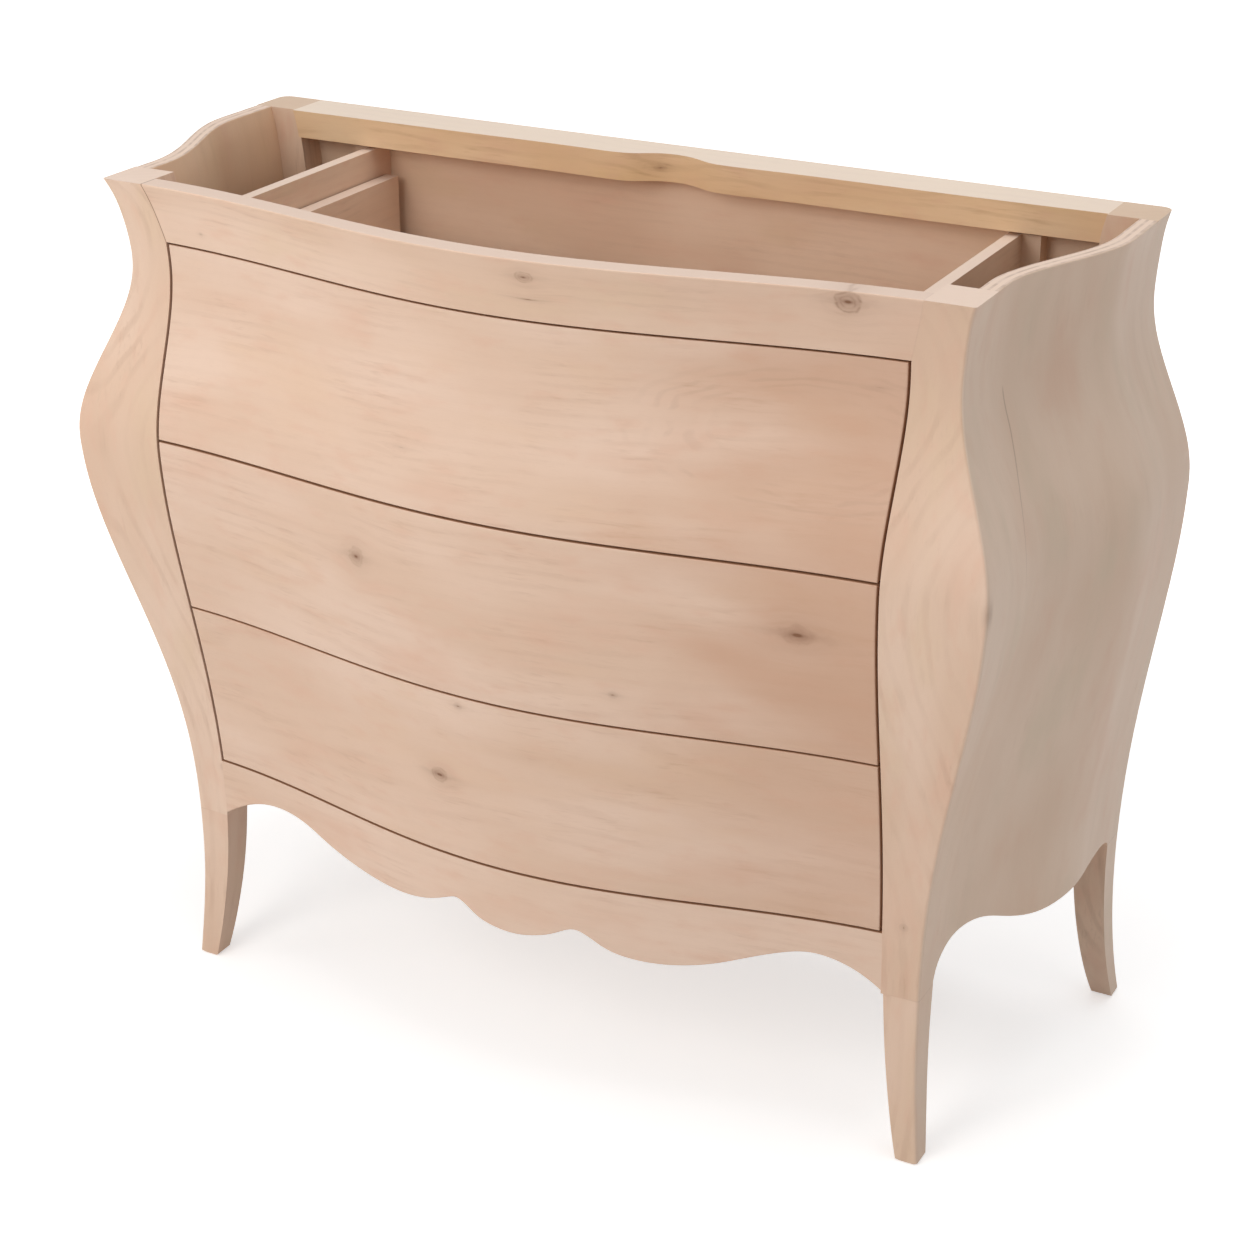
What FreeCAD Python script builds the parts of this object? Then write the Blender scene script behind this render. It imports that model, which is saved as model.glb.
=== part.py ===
import FreeCAD, Part
import math
import os

V = FreeCAD.Vector

# Bombe chest of three drawers, without its top board. Millimetres, +Z up, +X to the right, front
# towards -Y. While it is built, y = 0 is the front face of the feet; at the end the whole chest is
# moved so that the origin is the bottom centre of its box.

# Height of the case, and where its swelling outline turns: above the floor and below the top
case_height = 830.0
ankle_height = 140.0
belly_drop = 242.0
neck_drop = 80.0

# Half width of the chest at the front corners
corner_half_foot = 404.0
corner_half_ankle = 395.0
corner_half_belly = 458.0
corner_half_neck = 412.0
corner_half_top = 424.0

# Reach of the front corners in front of the feet
corner_reach_ankle = -7.0
corner_reach_belly = 50.0
corner_reach_neck = 8.0
corner_reach_top = 23.0

# Reach of the bowed front at its middle
middle_reach_ankle = 56.0
middle_reach_belly = 92.0
middle_reach_neck = 61.5
middle_reach_top = 77.0
bow_half_width = 405.0

# Half width of the chest at the back corners, and where the sides swing out to it
rear_half_foot = 474.0
rear_half_ankle = 471.0
rear_half_belly = 511.0
rear_half_neck = 465.0
rear_half_top = 473.5
side_swing_start = 50.0
side_swing_end = 225.0
case_back = 336.0

# Drawer openings
opening_bottom = 236.4
top_rail_height = 56.6
drawer_count = 3
opening_half_bottom = 359.0
opening_half_top = 367.5
rail_half_top = 381.0
drawer_line_gap = 2.0
drawer_side_gap = 2.6

# Boards
rail_thickness = 23.0
side_thickness = 17.0
front_post_back_foot = 41.0
front_post_back_top = 26.0
back_post_width = 46.0
back_post_depth_foot = 36.0
back_post_depth_top = 49.0
corner_radius = 3.0
back_corner_radius_top = 11.0
edge_radius = 1.2

# Legs
front_leg_joint = 171.5
back_leg_joint = 205.0
foot_size = 21.0
leg_top_size = 34.5
back_foot_kick = 42.0
foot_bevel = 2.5

# Hand-cut lower edge of the apron, from the left post to the right one: distance from the middle,
# depth below the drawer openings. It is drawn for an apron of this half width.
apron_drawn_half = 359.0
apron_edge = [(-359.0, 61.5), (-333.0, 45.9), (-312.0, 37.4), (-290.0, 33.2), (-268.0, 33.4),
              (-246.0, 38.0), (-222.0, 47.0), (-192.0, 55.9), (-160.0, 61.9), (-128.0, 64.4),
              (-98.0, 62.0), (-74.0, 55.0), (-60.0, 48.9), (-51.0, 46.4), (-43.0, 49.0),
              (-28.0, 58.9), (-8.0, 65.4), (12.0, 67.1), (34.0, 63.9), (56.0, 55.9),
              (68.0, 49.9), (76.0, 48.4), (84.0, 50.9), (104.0, 62.4), (126.0, 69.0),
              (150.0, 70.9), (180.0, 68.4), (212.0, 60.4), (240.0, 49.9), (266.0, 40.9),
              (292.0, 35.9), (314.0, 38.9), (336.0, 47.4), (359.0, 62.5)]

# Wavy lower edge of the side panel: distance behind the front post, height above that post's foot.
# It is drawn for a panel of this depth.
side_wave_drawn_depth = 255.0
side_wave = [(0.0, 0.0), (5.0, 12.5), (16.0, 24.0), (31.0, 34.5), (51.0, 41.0), (67.0, 40.5),
             (91.0, 32.0), (119.0, 26.5), (147.0, 31.0), (179.0, 39.5), (215.0, 44.0),
             (239.0, 43.0), (255.0, 36.5)]

# Back rails and panel; the top rail's inner edge, with its finger scoop, is given as distance from
# the middle, depth
back_rail_height = 27.0
back_rail_edge = [(-426.0, 52.0), (-240.0, 52.0), (-85.0, 52.0), (-52.0, 51.6), (-41.0, 49.0),
                  (-29.0, 42.5), (-16.0, 36.6), (-2.0, 34.8), (12.0, 36.4), (27.0, 42.2),
                  (40.0, 48.6), (52.0, 50.8), (85.0, 50.4), (240.0, 49.0), (426.0, 46.0)]
bottom_rail_height = 40.0
bottom_rail_depth = 36.0
panel_thickness = 6.0
panel_groove = 8.0
panel_set_in = 12.0

# Upright guide boards inside the case, with their cleats and spacers
guide_set_in = 24.0
guide_thickness = 12.0
guide_below_opening = 21.4
guide_below_top = 31.0
cleat_size = 18.0
spacer_height = 70.0

# Drawer runners and stops
runner_width = 20.0
runner_height = 18.0
runner_lift = 10.0
stop_height = 14.0
stop_gap = 0.3

# Drawer boxes
drawer_front_thickness = 20.0
drawer_side_thickness = 14.0
drawer_side_clearance = 2.0
drawer_back_room = 12.0
drawer_top_clearance = 3.0
drawer_back_thickness = 14.0
drawer_back_drop = 72.0
drawer_bottom_thickness = 5.0
drawer_bottom_lift = 8.0
drawer_groove = 6.0

# Dowels and screws
dowel_radius = 4.0
dowel_length = 36.0
drawer_dowel_length = 26.0
leg_dowel_radius = 5.0
leg_dowel_length = 50.0
screw_radius = 2.0
screw_head_radius = 4.0
screw_length = 26.0

# Sheets used for cutting reach this far past the chest
margin = 60.0

belly_height = case_height - belly_drop
neck_height = case_height - neck_drop
opening_top = case_height - top_rail_height
drawer_pitch = (opening_top - opening_bottom) / drawer_count
panel_back = case_back - panel_set_in
panel_front = panel_back - panel_thickness
guide_half_inner = opening_half_bottom - guide_set_in
guide_bottom = opening_bottom - guide_below_opening
guide_top = case_height - guide_below_top
drawer_back_face = panel_front - drawer_back_room
guide_half_outer = guide_half_inner + guide_thickness
drawer_half = guide_half_inner - drawer_side_clearance
drawer_half_inner = drawer_half - drawer_side_thickness
back_rail_bottom = case_height - back_rail_height
bottom_rail_top = back_leg_joint + bottom_rail_height
bottom_rail_front = case_back - bottom_rail_depth


def ease(t):
    return t * t * (3.0 - 2.0 * t)


def swell(z, foot, ankle, belly, neck, top):
    """Value of one outline at height z, through its five turning heights."""
    if z < ankle_height:
        return foot + (ankle - foot) * math.sin(math.pi / 2.0 * max(z, 0.0) / ankle_height)
    if z < belly_height:
        t = (z - ankle_height) / (belly_height - ankle_height)
        return ankle + (belly - ankle) * ease(t ** 1.3)
    if z < neck_height:
        return belly + (neck - belly) * ease((z - belly_height) / (neck_height - belly_height))
    return neck + (top - neck) * ((z - neck_height) / (case_height - neck_height)) ** 2


def corner_x(z):
    return swell(z, corner_half_foot, corner_half_ankle, corner_half_belly, corner_half_neck,
                 corner_half_top)


def corner_y(z):
    return -swell(z, 0.0, corner_reach_ankle, corner_reach_belly, corner_reach_neck,
                  corner_reach_top)


def middle_y(z):
    return -swell(z, middle_reach_ankle, middle_reach_ankle, middle_reach_belly,
                  middle_reach_neck, middle_reach_top)


def rear_x(z):
    return swell(z, rear_half_foot, rear_half_ankle, rear_half_belly, rear_half_neck,
                 rear_half_top)


def front_y(x, z):
    """The bowed front face."""
    reach = min(abs(x) / bow_half_width, 1.0)
    share = (1.0 + math.cos(math.pi * reach)) / 2.0
    return corner_y(z) + (middle_y(z) - corner_y(z)) * share


def side_x(y, z):
    """The swung side face on the right."""
    t = (y - side_swing_start) / (side_swing_end - side_swing_start)
    return corner_x(z) + (rear_x(z) - corner_x(z)) * ease(min(max(t, 0.0), 1.0))


def spread(low, high, count):
    return [low + (high - low) * i / (count - 1) for i in range(count)]


def sheet(rows):
    surface = Part.BSplineSurface()
    surface.interpolate(rows)
    return surface.toShape()


sheet_heights = spread(front_leg_joint - margin, case_height + margin / 4.0, 30)
front_reach = rear_half_belly + margin
front_sheet = sheet([[V(x, front_y(x, z), z) for x in spread(-front_reach, front_reach, 41)]
                     for z in sheet_heights])
side_sheet = sheet([[V(side_x(y, z), y, z)
                     for y in spread(-middle_reach_belly - margin, case_back + margin, 33)]
                    for z in sheet_heights])


def front_body(inset, depth):
    """Everything from inset to inset + depth behind the bowed front face."""
    return front_sheet.translated(V(0, inset, 0)).extrude(V(0, depth, 0))


def side_body(inset, depth):
    """Everything from inset to inset + depth inside the swung right side face."""
    return side_sheet.translated(V(-inset, 0, 0)).extrude(V(-depth, 0, 0))


def box(x0, x1, y0, y1, z0, z1):
    return Part.makeBox(x1 - x0, y1 - y0, z1 - z0, V(x0, y0, z0))


def mirrored(shape):
    return shape.mirror(V(0, 0, 0), V(1, 0, 0))


def polygon_prism(points, along, length):
    wire = Part.makePolygon(points + [points[0]])
    return Part.Face(wire).extrude(along * length)


def curve(points):
    spline = Part.BSplineCurve()
    spline.interpolate(points)
    return spline.toShape()


def outline_prism(edges, along):
    return Part.Face(Part.Wire(edges)).extrude(along)


def eased(board, chosen):
    """Rounds the chosen edges a little, as sanding does."""
    return board.makeFillet(edge_radius, [edge for edge in board.Edges if chosen(edge)])


def along_top(edge):
    """True for a long edge of a board's top at the height of the case."""
    box = edge.BoundBox
    return box.ZMin > case_height - edge_radius and box.DiagonalLength > 2 * rail_thickness


front_near = -middle_reach_belly - margin
front_deep = case_back - front_near


def opening_half(z):
    """Half width between the front posts at height z."""
    if z <= opening_bottom:
        return opening_half_bottom
    if z <= opening_top:
        t = (z - opening_bottom) / (opening_top - opening_bottom)
        return opening_half_bottom + (opening_half_top - opening_half_bottom) * t
    t = (z - opening_top) / (case_height - opening_top)
    return opening_half_top + (rail_half_top - opening_half_top) * t


def between_posts(low, high, gap):
    """The space between the front posts from low to high, less a gap at each end."""
    levels = [low] + [z for z in (opening_bottom, opening_top) if low < z < high] + [high]
    right = [V(opening_half(z) - gap, front_near, z) for z in levels]
    left = [V(-p.x, p.y, p.z) for p in reversed(right)]
    return polygon_prism(right + left, V(0, 1, 0), front_deep)


# ---- case -------------------------------------------------------------------------------------

def edge_through(post, x, y, z):
    corner = Part.Vertex(V(x, y, z))
    return min(post.Edges, key=lambda e: e.distToShape(corner)[0])


def front_post_back(z):
    share = (z - front_leg_joint) / (case_height - front_leg_joint)
    return front_post_back_foot + (front_post_back_top - front_post_back_foot) * share


def back_post_front(z):
    share = (z - back_leg_joint) / (case_height - back_leg_joint)
    depth = back_post_depth_foot + (back_post_depth_top - back_post_depth_foot) * share
    return case_back - depth


def front_post():
    levels = [front_leg_joint, opening_bottom, opening_top, case_height]
    inner = [V(opening_half(z), front_near, z) for z in levels]
    outer = [V(front_reach, front_near, case_height), V(front_reach, front_near, front_leg_joint)]
    blank = polygon_prism(inner + outer, V(0, 1, 0), front_deep)
    plan = [V(0, front_near, front_leg_joint), V(0, front_near, case_height),
            V(0, front_post_back(case_height), case_height),
            V(0, front_post_back(front_leg_joint), front_leg_joint)]
    blank = blank.common(polygon_prism(plan, V(1, 0, 0), front_reach))
    post = blank.common(front_body(0, front_deep)).common(side_body(0, front_reach / 2))
    middle = (front_leg_joint + case_height) / 2
    outer_edge = edge_through(post, corner_x(middle), corner_y(middle), middle)
    return post.makeFillet(corner_radius, [outer_edge])


def back_post():
    plan = [V(0, back_post_front(back_leg_joint), back_leg_joint),
            V(0, back_post_front(case_height), case_height), V(0, case_back, case_height),
            V(0, case_back, back_leg_joint)]
    post = polygon_prism(plan, V(1, 0, 0), front_reach).common(side_body(0, back_post_width))
    middle = (back_leg_joint + case_height) / 2
    outer_edge = edge_through(post, rear_x(middle), case_back, middle)
    radii = [corner_radius, back_corner_radius_top]
    if outer_edge.firstVertex().Z > outer_edge.lastVertex().Z:
        radii.reverse()
    return post.makeFillet(radii[0], radii[1], [outer_edge])


def leg_section(x_outer, y_outer, depth, size, z):
    """A square section whose outer corner is rounded; depth points from that corner inwards."""
    turn = math.copysign(corner_radius, depth)
    sag = turn * (1.0 - math.sqrt(0.5))
    inner = V(x_outer - size, y_outer, z)
    near = V(x_outer - corner_radius, y_outer, z)
    bend = V(x_outer - abs(sag), y_outer + sag, z)
    far = V(x_outer, y_outer + turn, z)
    corners = [far, V(x_outer, y_outer + depth, z), V(x_outer - size, y_outer + depth, z), inner,
               near]
    arc = Part.Arc(near, bend, far).toShape()
    return Part.Wire(Part.makePolygon(corners).Edges + [arc])


def leg_size(z, joint):
    return foot_size + (leg_top_size - foot_size) * (z / joint) ** 0.75


def leg(heights, joint, x_at, y_at, inwards):
    """Loft through square sections, ending in a small bevelled tip."""
    sections = []
    for z in heights:
        size = leg_size(z, joint)
        sections.append(leg_section(x_at(z), y_at(z), inwards * size, size, z))
    size = leg_size(0, joint) - 2 * foot_bevel
    tip = leg_section(x_at(0) - foot_bevel, y_at(0) + inwards * foot_bevel, inwards * size, size, 0)
    shaft = Part.makeLoft(sections, True, False)
    return shaft.fuse(Part.makeLoft([tip, sections[0]], True, True)).removeSplitter()


def front_leg():
    heights = spread(foot_bevel, front_leg_joint, 7)
    return leg(heights, front_leg_joint, corner_x, corner_y, 1)


def back_leg_face(z):
    """The back of the back leg, which kicks out behind the case."""
    t = min(z / back_leg_joint, 1.0)
    return case_back + back_foot_kick * (1.0 - t) ** 2.2


def back_leg():
    heights = spread(foot_bevel, back_leg_joint, 8)
    return leg(heights, back_leg_joint, rear_x, back_leg_face, -1)


def side_panel():
    start = front_post_back(front_leg_joint)
    end = back_post_front(front_leg_joint + side_wave[-1][1])
    stretch = (end - start) / side_wave_drawn_depth
    low = [V(0, start + y * stretch, front_leg_joint + rise) for y, rise in side_wave]
    back_top = V(0, back_post_front(case_height), case_height)
    front_top = V(0, front_post_back(case_height), case_height)
    edges = [curve(low), Part.makeLine(low[-1], back_top), Part.makeLine(back_top, front_top),
             Part.makeLine(front_top, low[0])]
    board = outline_prism(edges, V(front_reach, 0, 0)).common(side_body(0, side_thickness))
    return eased(board, along_top)


def front_top_rail():
    space = between_posts(opening_top + drawer_line_gap / 2, case_height, 0)
    return eased(space.common(front_body(0, rail_thickness)), along_top)


def front_apron():
    top = opening_bottom - drawer_line_gap / 2
    stretch = opening_half_bottom / apron_drawn_half
    low = [V(x * stretch, front_near, opening_bottom - depth) for x, depth in apron_edge]
    right_top = V(low[-1].x, front_near, top)
    left_top = V(low[0].x, front_near, top)
    edges = [curve(low), Part.makeLine(low[-1], right_top), Part.makeLine(right_top, left_top),
             Part.makeLine(left_top, low[0])]
    board = outline_prism(edges, V(0, front_deep, 0)).common(front_body(0, rail_thickness))
    return eased(board, lambda edge: edge.BoundBox.ZMax < top - edge_radius
                 and edge.BoundBox.XLength > rail_thickness)


def back_panel():
    """A plain board whose shaped edges sit in grooves in the back posts and rails."""
    low = bottom_rail_top - panel_groove
    high = back_rail_bottom + panel_groove
    half = box(0, front_reach, panel_front, panel_back, low, high)
    half = half.common(side_body(back_post_width - panel_groove, front_reach))
    return half.fuse(mirrored(half)).removeSplitter()


def between_back_posts(board):
    inside = side_body(back_post_width, front_reach)
    right = board.common(box(0, front_reach, front_near, case_back + margin, 0, case_height + margin))
    left = board.common(box(-front_reach, 0, front_near, case_back + margin, 0, case_height + margin))
    return right.common(inside).fuse(left.common(mirrored(inside))).removeSplitter()


def back_top_rail(panel):
    front = [V(x, case_back - depth, back_rail_bottom) for x, depth in back_rail_edge]
    reach = abs(front[0].x)
    right = V(front[-1].x, case_back, back_rail_bottom)
    left = V(front[0].x, case_back, back_rail_bottom)
    edges = [curve(front), Part.makeLine(front[-1], right), Part.makeLine(right, left),
             Part.makeLine(left, front[0])]
    board = outline_prism(edges, V(0, 0, back_rail_height))
    for side in (1, -1):
        board = board.fuse(end_filler(side, reach))
    return between_back_posts(board.removeSplitter()).cut(panel)


def end_filler(side, reach):
    """Carries the top rail on past its drawn edge to the back post's shaped face."""
    depth = back_rail_edge[-1][1] if side > 0 else back_rail_edge[0][1]
    block = box(reach, rear_half_belly, case_back - depth, case_back, back_rail_bottom, case_height)
    return block if side > 0 else mirrored(block)


def back_bottom_rail(panel):
    board = box(-rear_half_belly, rear_half_belly, bottom_rail_front, case_back, back_leg_joint,
                bottom_rail_top)
    return between_back_posts(board).cut(panel)


# ---- inside the case --------------------------------------------------------------------------

def guide_board(bottom_rail):
    board = box(guide_half_inner, guide_half_outer, front_near, panel_front, guide_bottom, guide_top)
    return board.common(front_body(rail_thickness, front_deep)).cut(bottom_rail)


def cleat():
    return box(guide_half_outer, guide_half_outer + cleat_size, panel_front - cleat_size,
               panel_front, bottom_rail_top, guide_top)


def spacers():
    """Blocks between the guide board and the front post, behind each drawer."""
    blocks = []
    for n in range(drawer_count):
        middle = opening_bottom + (n + 0.5) * drawer_pitch
        high = middle + spacer_height / 2
        block = box(guide_half_outer, opening_half_top, front_near, front_post_back(high),
                    middle - spacer_height / 2, high)
        block = block.common(between_posts(front_leg_joint, case_height, 0))
        blocks.append(block.common(front_body(rail_thickness, front_deep)))
    return blocks


def drawer_floor(n):
    """Height at which the sides of drawer n, counted from the bottom, run."""
    return opening_bottom + n * drawer_pitch + runner_lift


def runner(n):
    top = drawer_floor(n)
    strip = box(guide_half_inner - runner_width, guide_half_inner, front_near, bottom_rail_front,
                top - runner_height, top)
    return strip.common(front_body(rail_thickness, front_deep))


def stops():
    blocks = []
    for n in range(drawer_count):
        low = drawer_floor(n)
        block = box(guide_half_inner - runner_width, guide_half_inner,
                    drawer_back_face + stop_gap, panel_front, low, low + stop_height)
        blocks.extend([block, mirrored(block)])
    return blocks


# ---- drawers ----------------------------------------------------------------------------------

def drawer_front(n):
    low = opening_bottom + n * drawer_pitch + drawer_line_gap / 2
    high = low + drawer_pitch - drawer_line_gap
    space = between_posts(low, high, drawer_side_gap)
    board = space.common(front_body(0, drawer_front_thickness))
    face = min(board.Faces, key=lambda f: f.CenterOfMass.y if f.Area > board.Area / 4 else 0)
    return board.makeFillet(edge_radius, face.OuterWire.Edges)


def drawer_side_top(n):
    """The top drawer has no runner above it, so its sides stand a little taller."""
    if n == drawer_count - 1:
        return opening_top - drawer_top_clearance
    return drawer_floor(n + 1) - runner_height - drawer_top_clearance


def drawer_side(n):
    board = box(drawer_half_inner, drawer_half, front_near, drawer_back_face, drawer_floor(n),
                drawer_side_top(n))
    return board.common(front_body(drawer_front_thickness, front_deep))


def drawer_bottom(n):
    low = drawer_floor(n) + drawer_bottom_lift
    half = drawer_half_inner + drawer_groove
    board = box(-half, half, front_near, drawer_back_face, low, low + drawer_bottom_thickness)
    return board.common(front_body(drawer_front_thickness - drawer_groove, front_deep))


def drawer_back(n):
    low = drawer_floor(n) + drawer_bottom_lift + drawer_bottom_thickness
    return box(-drawer_half_inner, drawer_half_inner, drawer_back_face - drawer_back_thickness,
               drawer_back_face, low, drawer_side_top(n) - drawer_back_drop)


def drawer_dowels(n):
    """Dowels from the drawer's front into the end of its right side."""
    x = drawer_half - drawer_side_thickness / 2
    low = drawer_floor(n) + drawer_bottom_lift + drawer_bottom_thickness
    dowels = []
    for z in spread(low + 3 * dowel_radius, drawer_side_top(n) - 3 * dowel_radius, 3):
        joint = front_y(x, z) + drawer_front_thickness
        dowels.append(Part.makeCylinder(dowel_radius, drawer_dowel_length,
                                        V(x, joint - drawer_dowel_length / 2, z), V(0, 1, 0)))
    return dowels


# ---- dowels and screws of the case ------------------------------------------------------------

def cross_dowel(x, y, z):
    return Part.makeCylinder(dowel_radius, dowel_length, V(x - dowel_length / 2, y, z), V(1, 0, 0))


def front_rail_dowels():
    dowels = []
    for z in spread(opening_top + 3 * dowel_radius, case_height - 3 * dowel_radius, 2):
        x = opening_half(z)
        dowels.append(cross_dowel(x, front_y(x, z) + rail_thickness / 2, z))
    return dowels


def apron_dowels():
    dowels = []
    for z in spread(opening_bottom - 7.5 * dowel_radius, opening_bottom - 3 * dowel_radius, 2):
        x = opening_half_bottom
        dowels.append(cross_dowel(x, front_y(x, z) + rail_thickness / 2, z))
    return dowels


def back_rail_dowels():
    top_z = case_height - 3 * dowel_radius
    dowels = [cross_dowel(rear_x(top_z) - back_post_width, panel_back, top_z)]
    for z in spread(back_leg_joint + 2.5 * dowel_radius, bottom_rail_top - panel_groove
                    - 2 * dowel_radius, 2):
        dowels.append(cross_dowel(rear_x(z) - back_post_width,
                                  bottom_rail_front + bottom_rail_depth / 3, z))
    return dowels


def leg_dowel(x, y, joint):
    return Part.makeCylinder(leg_dowel_radius, leg_dowel_length, V(x, y, joint - leg_dowel_length / 2))


def front_leg_dowel():
    joint = front_leg_joint
    x = corner_x(joint) - leg_top_size / 2
    return leg_dowel(x, corner_y(joint) + leg_top_size / 2, joint)


def back_leg_dowel():
    joint = back_leg_joint
    x = rear_x(joint) - leg_top_size / 3
    return leg_dowel(x, case_back - leg_top_size / 3, joint)


def screw(x, y, z):
    """A countersunk wood screw driven outwards from x."""
    head = Part.makeCone(screw_head_radius, screw_radius, screw_head_radius - screw_radius,
                         V(x, y, z), V(1, 0, 0))
    shank = Part.makeCylinder(screw_radius, screw_length, V(x, y, z), V(1, 0, 0))
    return shank.fuse(head).removeSplitter()


def runner_screws():
    x = guide_half_inner - runner_width
    start = front_post_back_foot
    end = bottom_rail_front - cleat_size
    screws = []
    for n in range(drawer_count):
        z = drawer_floor(n) - runner_height / 2
        screws.extend(screw(x, y, z) for y in spread(start, end, 3))
    return screws


def cleat_screws():
    y = panel_front - cleat_size / 2
    screws = []
    for n in range(drawer_count):
        low = drawer_floor(n) + stop_height
        screws.extend(screw(guide_half_inner, y, low + share * drawer_pitch)
                      for share in (0.2, 0.6))
    return screws


# ---- assembly ---------------------------------------------------------------------------------

def drill(shape, pins):
    for pin in pins:
        shape = shape.cut(pin)
    return shape


def build():
    parts = {}

    def pair(name, right):
        parts[name + "_right"] = right
        parts[name + "_left"] = mirrored(right)

    def both(solids):
        return Part.makeCompound(list(solids) + [mirrored(s) for s in solids])

    panel = back_panel()
    rail_pins = front_rail_dowels()
    apron_pins = apron_dowels()
    back_pins = back_rail_dowels()
    front_leg_pin = front_leg_dowel()
    back_leg_pin = back_leg_dowel()

    pair("front_post", drill(front_post(), rail_pins + apron_pins + [front_leg_pin]))
    pair("back_post", drill(back_post().cut(panel), back_pins + [back_leg_pin]))
    pair("front_leg", drill(front_leg(), [front_leg_pin]))
    pair("back_leg", drill(back_leg(), [back_leg_pin]))
    pair("side_panel", side_panel())

    def drilled_both_ends(board, pins):
        return drill(board, list(pins) + [mirrored(pin) for pin in pins])

    bottom_rail = drilled_both_ends(back_bottom_rail(panel), back_pins)
    parts["front_top_rail"] = drilled_both_ends(front_top_rail(), rail_pins)
    parts["front_apron"] = drilled_both_ends(front_apron(), apron_pins)
    parts["back_top_rail"] = drilled_both_ends(back_top_rail(panel), back_pins)
    parts["back_bottom_rail"] = bottom_rail
    parts["back_panel"] = panel

    runner_pins = runner_screws()
    cleat_pins = cleat_screws()
    pair("guide_board", drill(guide_board(bottom_rail), runner_pins + cleat_pins))
    pair("guide_cleat", drill(cleat(), cleat_pins))
    pair("guide_spacers", Part.makeCompound(spacers()))
    names = ["bottom", "middle", "top"]
    for n, name in enumerate(names):
        pair("runner_" + name, drill(runner(n), runner_pins))
    parts["drawer_stops"] = Part.makeCompound(stops())

    parts["front_rail_dowels"] = both(rail_pins)
    parts["apron_dowels"] = both(apron_pins)
    parts["back_rail_dowels"] = both(back_pins)
    parts["leg_dowels"] = both([front_leg_pin, back_leg_pin])
    parts["runner_screws"] = both(runner_pins)
    parts["cleat_screws"] = both(cleat_pins)

    for n, name in enumerate(names):
        bottom = drawer_bottom(n)
        pins = drawer_dowels(n)
        prefix = "drawer_" + name
        parts[prefix + "_front"] = drilled_both_ends(drawer_front(n).cut(bottom), pins)
        pair(prefix + "_side", drill(drawer_side(n).cut(bottom), pins))
        parts[prefix + "_back"] = drawer_back(n)
        parts[prefix + "_bottom"] = bottom
        parts[prefix + "_dowels"] = both(pins)
    return parts


def main():
    os.makedirs("parts", exist_ok=True)
    parts = build()
    whole = Part.makeCompound(list(parts.values())).optimalBoundingBox(False)
    shift = V(-(whole.XMin + whole.XMax) / 2, -(whole.YMin + whole.YMax) / 2, -whole.ZMin)
    for name, shape in parts.items():
        shape.translated(shift).exportStep("parts/%s.step" % name)
    print("%d pieces, %.1f x %.1f x %.1f mm" % (len(parts), whole.XLength, whole.YLength,
                                               whole.ZLength))
    print("front of the feet at y = %.2f" % shift.y)


main()
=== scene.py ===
import itertools
import math

import bpy
from mathutils import Matrix, Vector


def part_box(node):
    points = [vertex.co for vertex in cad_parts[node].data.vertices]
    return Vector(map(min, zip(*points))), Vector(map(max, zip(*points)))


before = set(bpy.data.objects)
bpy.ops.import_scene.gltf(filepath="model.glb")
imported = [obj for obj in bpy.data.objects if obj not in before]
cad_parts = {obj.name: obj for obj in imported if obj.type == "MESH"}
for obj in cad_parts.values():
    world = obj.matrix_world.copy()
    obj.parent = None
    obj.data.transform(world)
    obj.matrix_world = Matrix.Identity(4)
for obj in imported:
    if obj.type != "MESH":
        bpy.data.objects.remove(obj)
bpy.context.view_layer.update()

# Looks of the bombe chest of drawers in raw, sanded wood: camera, soft studio light, pale floor and
# one procedural wood for every board. Metres, in the frame of the CAD model. Every visible surface
# is a CAD node; each board gets a material of its own, so that no two boards share a figure.

mm = 0.001

# Camera
camera_place = Vector((1.06818, -1.95129, 1.41539))
camera_yaw = 0.470746
camera_pitch = -0.417748
camera_roll = 0.004368
camera_lens = 72.65
camera_sensor = 36.0
camera_shift = (-0.0345, -0.0195)

# Light: what all lamps look at, and each lamp's name, place, size, watts and colour
lamp_target = Vector((0.0, 0.0, 0.45))
lamps = [
    ("key", (-0.5, -2.05, 1.66), 1.2, 13.4, (1.0, 0.975, 0.945)),
    ("front", (-0.9, -2.9, 2.7), 2.2, 17.5, (1.0, 0.98, 0.955)),
    ("left", (-3.2, -1.2, 2.2), 2.2, 6.5, (1.0, 0.985, 0.97)),
    ("low_left", (-2.8, -2.2, 1.0), 2.0, 15.5, (1.0, 0.985, 0.97)),
    ("overhead", (0.3, 0.1, 3.2), 2.4, 30.0, (1.0, 1.0, 1.0)),
    ("right", (2.9, -0.7, 1.5), 2.0, 6.4, (1.0, 1.0, 1.0)),
]
ambient_colour = (0.98, 0.985, 1.0, 1.0)
ambient_strength = 0.38
white = (1.0, 1.0, 1.0, 1.0)

# Floor: half its width, its colour, and how much it is lifted towards white near and far
floor_half = 14.0
floor_albedo = (0.80, 0.80, 0.80, 1.0)
floor_near = 0.45
floor_far = 1.7
floor_lift_near = 0.50
floor_lift_far = 0.90


def srgb(red, green, blue):
    """Linear colour of an 8-bit sRGB one."""
    def linear(value):
        c = value / 255.0
        return c / 12.92 if c <= 0.04045 else ((c + 0.055) / 1.055) ** 2.4
    return (linear(red), linear(green), linear(blue), 1.0)


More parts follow.
